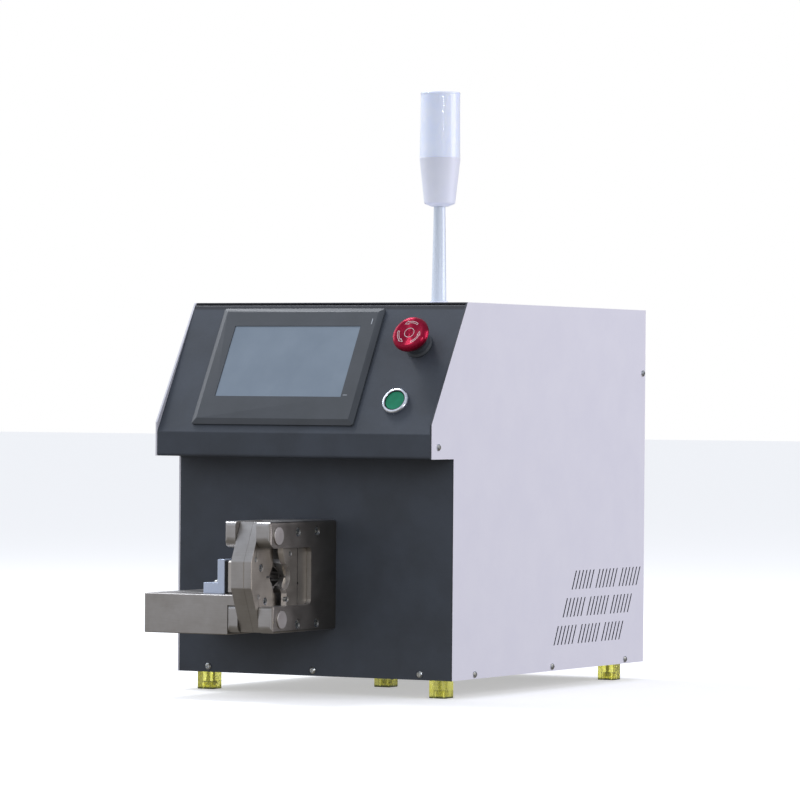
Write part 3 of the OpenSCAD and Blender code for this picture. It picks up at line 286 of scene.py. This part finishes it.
def lacqueredCrimson():
    # Moulded cap, metallised and lacquered crimson over turned rings: the light gathers into two pink
    # flares, and the rim that turns away is near black. The lacquer's flakes are drawn at 0.9 mm to show.
    material, tree, shader, place = startMaterial("lacqueredCrimson", {
        "Metallic": 1.0, "Anisotropic": 0.95, "Coat Weight": 0.15, "Coat Roughness": 0.12})
    flakes = patternOf(tree, place, sizeMm=0.9)
    middle = tuple(joints["stop_twist"]["pos_m"])
    across = addNode(tree, "ShaderNodeVectorMath", {"operation": "SUBTRACT", 1: middle}, {0: place})
    spoke = addNode(tree, "ShaderNodeVectorTransform",
                    {"vector_type": "VECTOR", "convert_from": "OBJECT", "convert_to": "WORLD"},
                    {"Vector": across.outputs[0]})
    tree.links.new(spoke.outputs[0], shader.inputs["Tangent"])
    layPatterns(tree, shader, ("#8F0E2C", "#AB173D"), (0.33, 0.39), flakes)
    return material


def redPolycarbonate():
    # Moulded polycarbonate, dyed a deep red and polished in its mould: hard and glossy
    return mouldedFinish("redPolycarbonate", ("#8C1A22", "#9B2029"), (0.20, 0.30),
                         grainMm=1.2, depthMm=0.01, base={"Coat Weight": 0.4})


def greenPolycarbonate():
    # Moulded polycarbonate, tinted and lit from inside in use: half gloss, with a deep even green
    return evenFinish("greenPolycarbonate", ("#05805C", "#0A8C68"), (0.34, 0.42), sizeMm=9, base={
        "IOR": 1.5, "Specular IOR Level": 0.3,
        "Subsurface Weight": 0.3, "Subsurface Radius": (0.001, 0.004, 0.003)})


def satinChrome():
    # Satin chrome on a die-cast ring: bluish white, with soft edges to what it mirrors
    return evenFinish("satinChrome", ("#D9DEE8", "#EBEFF7"), (0.20, 0.28),
                      sizeMm=3, detail=1, base={"Metallic": 1.0})


def bluePolyamide():
    # Moulded polyamide, dyed blue: half matt, with the same grain as the black one
    return mouldedFinish("bluePolyamide", ("#24427C", "#2C4D8C"), (0.40, 0.52), grainMm=1.2, depthMm=0.03)


def coolWhiteAbs():
    # Moulded ABS in cool white, half gloss, slightly see-through at its thin edges, with a fine grain drawn
    # at 1.6 mm
    return mouldedFinish("coolWhiteAbs", ("#E3E7F3", "#E9ECF6"), (0.32, 0.42), grainMm=1.6, depthMm=0.012,
                         base={"Subsurface Weight": 0.15, "Subsurface Radius": (0.004, 0.004, 0.005)})


def frostedPolycarbonate():
    # Frosted polycarbonate tube: milky, with a glossy skin that carries a long narrow highlight. Its faint
    # bluish emission is painted light: the tube glows a little, standing in for daylight through it.
    return evenFinish("frostedPolycarbonate", ("#E9F0FF", "#F0F5FF"), (0.40, 0.50), sizeMm=22, base={
        "Transmission Weight": 0.12, "IOR": 1.58, "Coat Weight": 0.6, "Coat Roughness": 0.05,
        "Emission Color": linear("#B2C5FF"), "Emission Strength": 0.12,
        "Subsurface Weight": 0.6, "Subsurface Radius": (0.012, 0.013, 0.016)})


def drawnAluminium():
    # Drawn aluminium tube, etched and clear anodised: silky and pale, with faint lines along the draw. They
    # are finer than 0.5 mm in life, drawn at 1.6 mm.
    return evenFinish("drawnAluminium", ("#CBD5E0", "#D3DBE4"), (0.42, 0.50),
                      sizeMm=1.6, stretch=(1, 1, 40), base={"Metallic": 0.3})


def groundSteel(name="groundSteel", tones=("#A19E9B", "#B1AFAE"), rightFacesLightAndShadeHex="#FFF9EB"):
    # Tool steel, surface ground and satin nickel plated: warm grey with grinding lines along the length,
    # 0.2 mm apart in life and drawn at 0.9 mm. The faces that look to the right have a colour multiplied in:
    # painted light and shade, a warm cast on the head and a warm darkening on the yoke's copy.
    material = machinedFinish(name, tones, (0.36, 0.46), lineMm=0.9, lineLength=22)
    return coverWhere(material, maskAlong(material, "Normal", "X", 0.5, 0.8), rightFacesLightAndShadeHex, "MULTIPLY")


def frontHighlightCheekSteel():
    # The ram's cheeks, ground like the head, with the faces that look forward, towards the gate, screened
    # brighter: a painted highlight along their wire-cut edges.
    material = groundSteel("frontHighlightCheekSteel")
    return coverWhere(material, maskAlong(material, "Normal", "Y", -0.12, -0.3), "#F4ECE8", "SCREEN")


def dieSteel():
    # Hardened die steel, oiled: darker than the body, with finer and brighter lines on the working faces,
    # 0.1 mm apart in life and drawn at 0.6 mm
    return machinedFinish("dieSteel", ("#6C6A67", "#8A8885"), (0.26, 0.38), lineMm=0.6, lineLength=14)


def groundDowelSteel():
    # Ground dowel stock and lapped plate: bright and smooth, with hardly any grain
    return machinedFinish("groundDowelSteel", ("#BAB5B0", "#C6C2BE"), (0.40, 0.48),
                          lineMm=1.2, lineLength=1, depthMm=0.0005, lineShare=0.1)


def blastedAluminium():
    # Milled aluminium, bead blasted and clear anodised: bluish white, dry and even. The beads' dents are
    # 0.2 mm across in life, drawn at 0.8 mm.
    return evenFinish("blastedAluminium", ("#C9D6EC", "#D5DFF1"), (0.42, 0.54),
                      sizeMm=0.8, depthMm=0.01, base={"Metallic": 0.9})


def nitrileRubber():
    # Moulded nitrile rubber: dull black, with a deeper grain than the plastics, drawn at 1.4 mm
    return mouldedFinish("nitrileRubber", ("#141517", "#1C1D20"), (0.62, 0.78), grainMm=1.4, depthMm=0.06)


def milledAluminium():
    # Milled aluminium plate: bright, with cutter lines 1.2 mm apart
    return machinedFinish("milledAluminium", ("#9DA4AB", "#B7BDC4"), (0.34, 0.48),
                          lineMm=1.2, lineLength=16, depthMm=0.01)


def blackAnodising():
    # Extruded aluminium, black anodised: a satin sheen, with the die's lines along the extrusion, drawn at
    # 0.9 mm
    return evenFinish("blackAnodising", ("#1D1F22", "#2B2E32"), (0.38, 0.52),
                      sizeMm=0.9, stretch=(1, 25, 1), base={"Metallic": 0.8})


def charcoalAbs():
    # Moulded ABS in charcoal, half matt, with a grain of 0.3 mm drawn at 1.3 mm
    return mouldedFinish("charcoalAbs", ("#2B2E34", "#33373E"), (0.45, 0.60), grainMm=1.3, depthMm=0.03)


def rolledAluminium():
    # Folded aluminium sheet, as it left the rolls: pale and dull, with rolling lines drawn at 1.4 mm
    return machinedFinish("rolledAluminium", ("#A3A8AC", "#B9BDC1"), (0.42, 0.55),
                          lineMm=1.4, lineLength=20)


def glassFilledNylon():
    # Moulded nylon filled with glass: black, with a skin that the fibres make slightly streaky
    return evenFinish("glassFilledNylon", ("#17181A", "#222427"), (0.40, 0.56),
                      sizeMm=1.2, stretch=(1, 1, 4), detail=3)


finishes = {
    "light_paint": powderCoatLight(),
    "dark_paint": powderCoatCharcoal(),
    "zinc_sheet": galvanisedSheet(),
    "zinc_screw": brightZinc(),
    "clear_yellow": clearPolyurethane(),
    "bezel_plastic": slateAbs(),
    "display": hardCoatedFilm(),
    "black_plastic": blackPolyamide(),
    "red_plastic": lacqueredCrimson(),
    "green_plastic": greenPolycarbonate(),
    "bright_ring": satinChrome(),
    "blue_plastic": bluePolyamide(),
    "lamp_white": coolWhiteAbs(),
    "lamp_frost": frostedPolycarbonate(),
    "pole_alloy": drawnAluminium(),
    "head_steel": groundSteel(),
    "die_steel": dieSteel(),
    "pin_steel": groundDowelSteel(),
    "stop_alloy": blastedAluminium(),
    "pad_rubber": nitrileRubber(),
    "drive_alloy": milledAluminium(),
    "motor_paint": blackAnodising(),
    "electronics": charcoalAbs(),
    "supply_case": rolledAluminium(),
    "fan_plastic": glassFilledNylon(),
}

# Nodes whose finish isn't quite that of their slot
ownFinishes = {
    "power_rocker": redPolycarbonate(),
    # The yoke's copy of the ground steel: lighter tones, and right faces multiplied darker: painted light
    # and shade, as its fronts show brighter and its right side darker than the rest of the head
    "yoke": groundSteel("yokeSteel", ("#AAA8A7", "#B9B8B8"), "#CEC9C0"),
    "ram_cheeks": frontHighlightCheekSteel(),
}

for name, node in nodes.items():
    node.data.materials.clear()
    node.data.materials.append(ownFinishes.get(name, finishes[slotOf[name]]))

# Broken edges: the machined parts have theirs ground off by a few tenths of a millimetre, which draws a
# bright line, and the moulded ones come out of their moulds a little round
print("broken edges")
edgeBreak = {
    "weldMm": 0.002,      # corners closer than this are one corner
    "overDegrees": 32,    # a flatter edge is left as it is
    "segments": 2,
    "widthMm": {
        "yoke": 0.5, "gate_body": 0.35, "gate_cheek": 0.35, "ram_cheeks": 0.35, "ram_plate": 0.35,
        "die_holder": 0.25, "rest_block": 0.45, "stop_bracket": 0.35, "stop_plate": 0.3, "stop_pad": 0.4,
        "gate_pins": 0.3, "upper_front_jaw": 0.15, "lower_front_jaw": 0.15, "upper_rear_jaw": 0.15,
        "lower_rear_jaw": 0.15, "front_nose_die": 0.12, "rear_nose_die": 0.12, "hmi_housing": 0.5,
        "feet": 0.5, "stop_mushroom": 0.2,
    },
}


def breakEdges(node, widthMm):
    join = node.modifiers.new("joinCorners", "WELD")
    join.merge_threshold = edgeBreak["weldMm"] * mm
    bevel = node.modifiers.new("edgeBreak", "BEVEL")
    bevel.width = widthMm * mm
    bevel.segments = edgeBreak["segments"]
    bevel.limit_method = "ANGLE"
    bevel.angle_limit = math.radians(edgeBreak["overDegrees"])
    bevel.use_clamp_overlap = True
    even = node.modifiers.new("evenShading", "WEIGHTED_NORMAL")
    even.keep_sharp = False


for name, width in edgeBreak["widthMm"].items():
    breakEdges(nodes[name], width)


# Small pieces: each is built by a function that fills an empty mesh
def makeObject(name, builder, material):
    mesh = bpy.data.meshes.new(name)
    build = bmesh.new()
    builder(build)
    bmesh.ops.recalc_face_normals(build, faces=build.faces)
    build.to_mesh(mesh)
    build.free()
    mesh.materials.append(material)
    made = bpy.data.objects.new(name, mesh)
    bpy.context.scene.collection.objects.link(made)
    return made


def addPiece(name, builder, material, body):
    piece = makeObject(name, builder, material)
    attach(piece, body)


def stackRings(build, rings):
    # Joins each ring of points to the next, and closes the first and the last
    layers = [[build.verts.new(point) for point in ring] for ring in rings]
    count = len(layers[0])
    for low, high in zip(layers, layers[1:]):
        for i in range(count):
            build.faces.new((low[i], low[(i + 1) % count], high[(i + 1) % count], high[i]))
    build.faces.new(layers[0][::-1])
    build.faces.new(layers[-1])


# The slope that carries the controls: its outward direction is the axis that the mushroom turns on. Places
# on it are X, the distance up it from its lower fold and the height over its face, in millimetres.
outward = Vector(joints["stop_twist"]["axis"])
uphill = outward.cross(Vector((1, 0, 0)))
slopeTurn = Matrix((Vector((1, 0, 0)), uphill, outward)).transposed()
twistMiddle = (125.9, 109.1, 20)    # the twist joint's place on the slope
slopeFold = Vector(joints["stop_twist"]["pos_m"]) - slopeTurn @ Vector(twistMiddle) * mm


def onSlope(x, v, out):
    return slopeFold + slopeTurn @ Vector((x, v, out)) * mm


# Painted shade: a dark rubber ring set in the groove between the start button's bright ring and its cap,
# standing in for the shade in that groove
print("start button seal")
startGrooveShade = {    # the rubber ring that fills the groove between the button's bright ring and its cap
    "x": 116.5,
    "v": 39.4,
    "profile": ((11.08, 2.1), (11.72, 2.1), (11.72, 3.8), (11.4, 4.05), (11.08, 3.7)),    # radius, height
    "steps": 64,
}


def grooveShadeRing(build):
    rings = []
    for i in range(startGrooveShade["steps"]):
        turn = math.tau * i / startGrooveShade["steps"]
        rings.append([build.verts.new(onSlope(startGrooveShade["x"] + radius * math.cos(turn),
                                              startGrooveShade["v"] + radius * math.sin(turn), out))
                      for radius, out in startGrooveShade["profile"]])
    for here, after in zip(rings, rings[1:] + rings[:1]):
        for a in range(len(here)):
            b = (a + 1) % len(here)
            build.faces.new((here[a], here[b], after[b], after[a]))


addPiece("startGrooveShade", grooveShadeRing, finishes["pad_rubber"], "root")

print("emergency stop marks")
stopMarks = {
    "dishMm": 6.7,          # height of the dished crown over the twist joint's position, at the middle
    "dishRadiusMm": 100,
    "lineMm": 0.5,
    "thickMm": 0.1,
    "sinkMm": 0.02,         # how deep the print's underside is set into the crown
    "ringMm": 5.8,          # radius of the ring, and below of the arrows' middle line
    "ringSteps": 36,
    "arrowMm": 12.7,
    "bandMm": 1.1,          # half the arrow's width along its band, and across its head
    "headMm": 2.3,
    "sweep": 76,            # degrees from tail to tip
    "neck": 0.7,            # share of the sweep where the head begins
    "bandSteps": 8,
    "starts": (52, 172, 292),
}


def onCrown(point, level):
    marks = stopMarks
    height = marks["dishMm"] + point.length_squared / (2 * marks["dishRadiusMm"])
    x, v, out = twistMiddle
    return onSlope(x + point.x, v + point.y, out + height - marks["sinkMm"] + level * marks["thickMm"])


def onCircle(radius, degrees):
    return Vector((math.cos(math.radians(degrees)), math.sin(math.radians(degrees)))) * radius


def printedLine(build, outline, width, place):
    # A flat printed line along a closed outline, its width laid to the inside, with a little thickness
    count = len(outline)
    inner = []
    for i, here in enumerate(outline):
        before, after = outline[i - 1], outline[(i + 1) % count]
        first, second = (here - before).normalized(), (after - here).normalized()
        normal = (Vector((-first.y, first.x)) + Vector((-second.y, second.x))).normalized()
        turn = max(0.5, normal.dot(Vector((-first.y, first.x))))    # a corner goes two widths in at most
        inner.append(here + normal * width / turn)
    rings = [[build.verts.new(place(point, level)) for point in points]
             for points, level in ((outline, 0), (outline, 1), (inner, 1), (inner, 0))]
    for i in range(count):
        j = (i + 1) % count
        for a, b in zip(rings, rings[1:] + rings[:1]):
            build.faces.new((a[i], a[j], b[j], b[i]))


def twistArrow(start):
    # Outline of one curved arrow, anticlockwise from its outer corner at the tail
    marks = stopMarks
    middle, band, head = marks["arrowMm"], marks["bandMm"], marks["headMm"]
    neck, tip = start + marks["neck"] * marks["sweep"], start + marks["sweep"]
    along = [start + (neck - start) * i / marks["bandSteps"] for i in range(marks["bandSteps"] + 1)]
    return ([onCircle(middle + band, angle) for angle in along]
            + [onCircle(middle + head, neck), onCircle(middle, tip), onCircle(middle - head, neck)]
            + [onCircle(middle - band, angle) for angle in reversed(along)])


def twistMarks(build):
    count = stopMarks["ringSteps"]
    ring = [onCircle(stopMarks["ringMm"], 360 * i / count) for i in range(count)]
    for outline in [ring] + [twistArrow(start) for start in stopMarks["starts"]]:
        printedLine(build, outline, stopMarks["lineMm"], onCrown)


def padPrint():
    # Pad-printed ink, cured: warm white and dry, picking up a little of the red below it
    return mouldedFinish("padPrint", ("#E3D5D8", "#EFE6E8"), (0.42, 0.55), grainMm=1.0, depthMm=0.01)


addPiece("twistMarks", twistMarks, padPrint(), "stop_mushroom")

print("middle foot")
middleFoot = {
    "at": (0, 3),    # X and Y of its middle, in millimetres like the rest
    "side": 20,
    "height": 20,
    "cutCorner": 1,
    "soleEdge": 0.5,
    "boreRadius": 6.6,
    "boreDepth": 8,
    "pointsApart": 11,    # degrees
}
footHead = {
    "radius": 5,
    "low": 4,
    "high": 8,
    "dome": 1.2,
    "shoulder": (0.35, 0.3),    # how far in and up the dome's halfway point lies, as shares of the dome
    "underside": 0.1,
    "shank": 2.5,
    "points": 32,
}


def squareRing(middle, side, cut, z, turns):
    # A square with cut corners, as points in the directions of turns
    half = side / 2
    ring = []
    for turn in turns:
        x, y = math.cos(turn), math.sin(turn)
        reach = min(half / max(abs(x), abs(y)), (side - cut) / (abs(x) + abs(y)))
        ring.append(Vector((middle[0] + reach * x, middle[1] + reach * y, z)) * mm)
    return ring


def roundRing(middle, radius, z, turns):
    x, y = middle
    return [Vector((x + radius * math.cos(a), y + radius * math.sin(a), z)) * mm for a in turns]


def footBlock(build):
    # A block with cut corners, open below in a counterbore for its screw
    foot = middleFoot
    at, side, cut, edge = foot["at"], foot["side"], foot["cutCorner"], foot["soleEdge"]
    corner = math.degrees(math.atan2(side / 2 - cut, side / 2))
    reach = int(corner // foot["pointsApart"])
    steps = [-corner] + [foot["pointsApart"] * i for i in range(-reach, reach + 1)] + [corner]
    turns = [math.radians(quarter + step) for quarter in (0, 90, 180, 270) for step in steps]
    stackRings(build, [squareRing(at, side, cut, foot["height"], turns),
                       squareRing(at, side, cut, edge, turns),
                       squareRing(at, side - 2 * edge, cut, 0, turns),
                       roundRing(at, foot["boreRadius"], 0, turns),
                       roundRing(at, foot["boreRadius"], foot["boreDepth"], turns)])


def footScrew(build):
    # Its domed head looks down, and its shank ends at the top of the foot
    head = footHead
    inwards, upwards = (share * head["dome"] for share in head["shoulder"])
    outline = ((head["radius"] - head["dome"], head["low"]),
               (head["radius"] - inwards, head["low"] + upwards),
               (head["radius"], head["low"] + head["dome"]),
               (head["radius"], head["high"]),
               (head["shank"], head["high"] + head["underside"]),
               (head["shank"], middleFoot["height"]))
    turns = [math.tau * i / head["points"] for i in range(head["points"])]
    stackRings(build, [roundRing(middleFoot["at"], radius, z, turns) for radius, z in outline])


addPiece("middleFoot", footBlock, finishes["clear_yellow"], "root")
addPiece("middleFootScrew", footScrew, finishes["zinc_screw"], "root")

print("touch panel marks")
panelMarks = {
    "faceOut": 5.0,
    "rooted": 0.3,       # how deep a mark goes into the bezel
    "softFrom": 0.6,     # share of its height where its top edge begins to round off
    "softInset": 0.12,
    "points": 24,
    "light": {"x": 63.1, "v": 135.9, "wide": 1.1, "tall": 7.4, "proud": 0.3},
    "tick": {"x": 55.1, "v": 44.5, "wide": 5.4, "tall": 0.75, "proud": 0.08},
}


def barRing(mark, inset, level):
    # Outline of a bar with round ends, drawn in by inset, at a height over the bezel's face
    half = min(mark["wide"], mark["tall"]) / 2
    reach = Vector((mark["wide"] / 2 - half, mark["tall"] / 2 - half))
    ring = []
    for i in range(panelMarks["points"]):
        angle = math.tau * (i + 0.5) / panelMarks["points"]
        across, along = math.cos(angle), math.sin(angle)
        corner = Vector((math.copysign(reach.x, across), math.copysign(reach.y, along)))
        point = corner + Vector((across, along)) * (half - inset)
        ring.append(onSlope(mark["x"] + point.x, mark["v"] + point.y, panelMarks["faceOut"] + level))
    return ring


def roundBar(mark):
    # A low bar with round ends and a soft top edge
    def build(mesh):
        stackRings(mesh, [barRing(mark, 0, -panelMarks["rooted"]),
                          barRing(mark, 0, mark["proud"] * panelMarks["softFrom"]),
                          barRing(mark, panelMarks["softInset"], mark["proud"])])
    return build


def milkyAcrylic():
    # Moulded acrylic, milky: a pale grey window that spreads a lamp's light, with a smooth skin
    return mouldedFinish("milkyAcrylic", ("#AEB4BC", "#B8BEC6"), (0.30, 0.40), grainMm=1.0, depthMm=0.005)


milkyWindow = milkyAcrylic()
addPiece("statusLight", roundBar(panelMarks["light"]), milkyWindow, "root")
addPiece("cornerTick", roundBar(panelMarks["tick"]), milkyWindow, "root")

print("studio")
studio = {
    "floorSide": 60.0,
    "floorGlow": 0.42,
    "skyHex": ("#7E7A74", "#D6D6DA", "#BEC4CE"),    # below, at eye level, overhead
    "skyAt": (0.42, 0.52, 0.92),    # on the way from straight down, 0, to straight up, 1
    "towardsLeft": 0.22,     # how much brighter the room is at its left than in its middle
    "towardsFront": 0.2,     # and at its front
    "lights": {    # each looks at the machine's middle; places and sizes in metres
        "window": {"at": (-2.8, 0.2, 1.9), "wide": 2.0, "tall": 2.0, "watts": 34, "hex": "#F5F9FF"},
        "overhead": {"at": (-1.3, 0.2, 2.5), "wide": 0.55, "tall": 0.55, "watts": 26, "hex": "#F8FAFF"},
        "sidelight": {"at": (3.5, 1.5, 1.2), "wide": 2.4, "tall": 2.4, "watts": 78, "hex": "#F6F3FF"},
        "strip": {"at": (2.85, -2.75, 1.5), "wide": 0.2, "tall": 1.2, "watts": 16, "hex": "#FFFFFF"},
    },
}


def floorSquare(build):
    half = studio["floorSide"] / 2
    corners = [build.verts.new((x * half, y * half, 0)) for x, y in ((-1, -1), (1, -1), (1, 1), (-1, 1))]
    build.faces.new(corners)


def paleCard():
    # Matt card that glows a little, so that it stays even to the horizon
    material, tree, shader, place = startMaterial("paleCard", {
        "Roughness": 0.9, "Emission Color": (1, 1, 1, 1), "Emission Strength": studio["floorGlow"]})
    fibres = patternOf(tree, place, sizeMm=3)
    tones = addNode(tree, "ShaderNodeValToRGB", links={"Fac": fibres})
    setStops(tones, patterns["tonesAt"], ("#E4E4E4", "#E7E7E7"))
    tree.links.new(tones.outputs["Color"], shader.inputs["Base Color"])
    return material


def makeFloor():
    # It throws no light on the machine, and the machine doesn't mirror it
    floor = makeObject("floor", floorSquare, paleCard())
    floor.visible_diffuse = False
    floor.visible_glossy = False


def makeLights():
    target = (cadBox[0] + cadBox[1]) / 2
    for name, settings in studio["lights"].items():
        data = bpy.data.lights.new(name + "Light", "AREA")
        data.shape = "RECTANGLE"
        data.size = settings["wide"]
        data.size_y = settings["tall"]
        data.energy = settings["watts"]
        data.color = linear(settings["hex"])[:3]
        lamp = bpy.data.objects.new(name + "Light", data)
        bpy.context.scene.collection.objects.link(lamp)
        lamp.location = settings["at"]
        lamp.rotation_euler = (target - lamp.location).to_track_quat("-Z", "Y").to_euler()


def makeWorld():
    # A soft room: dim below, brighter overhead, to the left and in front; the camera sees plain white
    world = bpy.data.worlds.new("studioAir")
    bpy.context.scene.world = world
    world.use_nodes = True
    tree = world.node_tree
    tree.nodes.clear()
    direction = addNode(tree, "ShaderNodeTexCoord").outputs["Generated"]
    parts = addNode(tree, "ShaderNodeSeparateXYZ", links={0: direction})
    height = addNode(tree, "ShaderNodeMapRange", {"From Min": -1, "From Max": 1},
                     {"Value": parts.outputs["Z"]})
    sky = addNode(tree, "ShaderNodeValToRGB", links={"Fac": height.outputs["Result"]})
    setStops(sky, studio["skyAt"], studio["skyHex"])
    leftwards = addNode(tree, "ShaderNodeMath",
                        {"operation": "MULTIPLY_ADD", 1: -studio["towardsLeft"], 2: 1.0},
                        {0: parts.outputs["X"]})
    brightness = addNode(tree, "ShaderNodeMath", {"operation": "MULTIPLY_ADD", 1: -studio["towardsFront"]},
                         {0: parts.outputs["Y"], 2: leftwards.outputs[0]})
    room = addNode(tree, "ShaderNodeBackground",
                   links={"Color": sky.outputs["Color"], "Strength": brightness.outputs[0]})
    backdrop = addNode(tree, "ShaderNodeBackground", {"Color": (1, 1, 1, 1), "Strength": 1.0})
    seen = addNode(tree, "ShaderNodeLightPath").outputs["Is Camera Ray"]
    both = addNode(tree, "ShaderNodeMixShader", links={0: seen, 1: room.outputs[0], 2: backdrop.outputs[0]})
    addNode(tree, "ShaderNodeOutputWorld", links={"Surface": both.outputs[0]})


makeFloor()
makeLights()
makeWorld()
bpy.context.scene.view_settings.view_transform = "Standard"

print("done")
